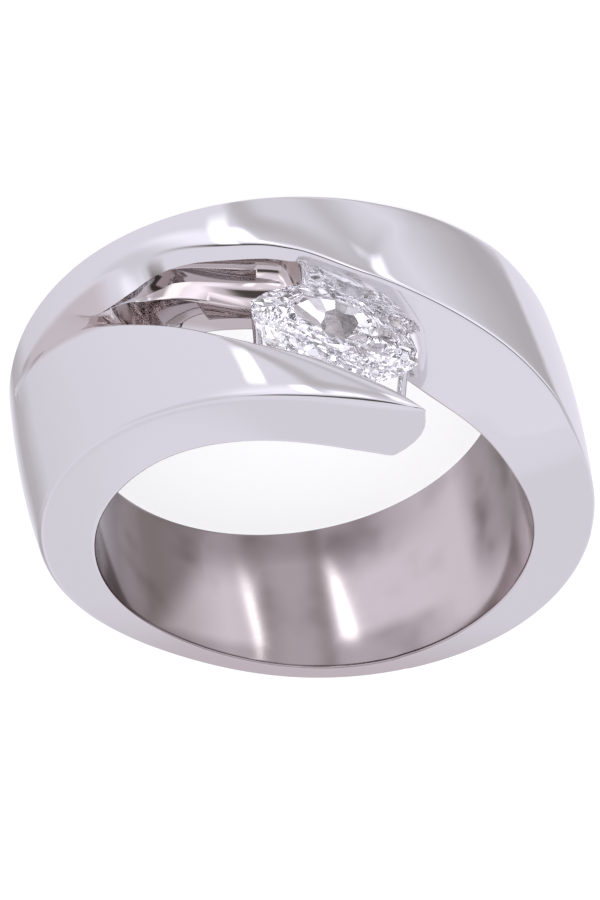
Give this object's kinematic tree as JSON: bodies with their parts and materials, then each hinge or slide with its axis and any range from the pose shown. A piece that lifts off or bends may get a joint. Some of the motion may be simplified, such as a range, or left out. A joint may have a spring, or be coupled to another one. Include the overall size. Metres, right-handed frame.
{
  "type": "bypass ring with a marquise stone",
  "caption": "Wide polished bypass ring whose two tapering arms cross at the front and hold a pointed oval stone in the slot between them.",
  "frame": {"origin": "middle of the finger hole, in the plane of the back rim that the ring lies on", "axes": "+Z along the finger hole, from the back rim to the front rim; -Y towards the stone; +X towards the slot's closed end"},
  "size_m": [0.0227, 0.0217, 0.0099],
  "materials": {
    "white_gold": "polished white gold",
    "stone": "clear faceted stone"
  },
  "bodies": {
    "root": {"band": "white_gold", "stone": "stone"}
  },
  "joints": []
}
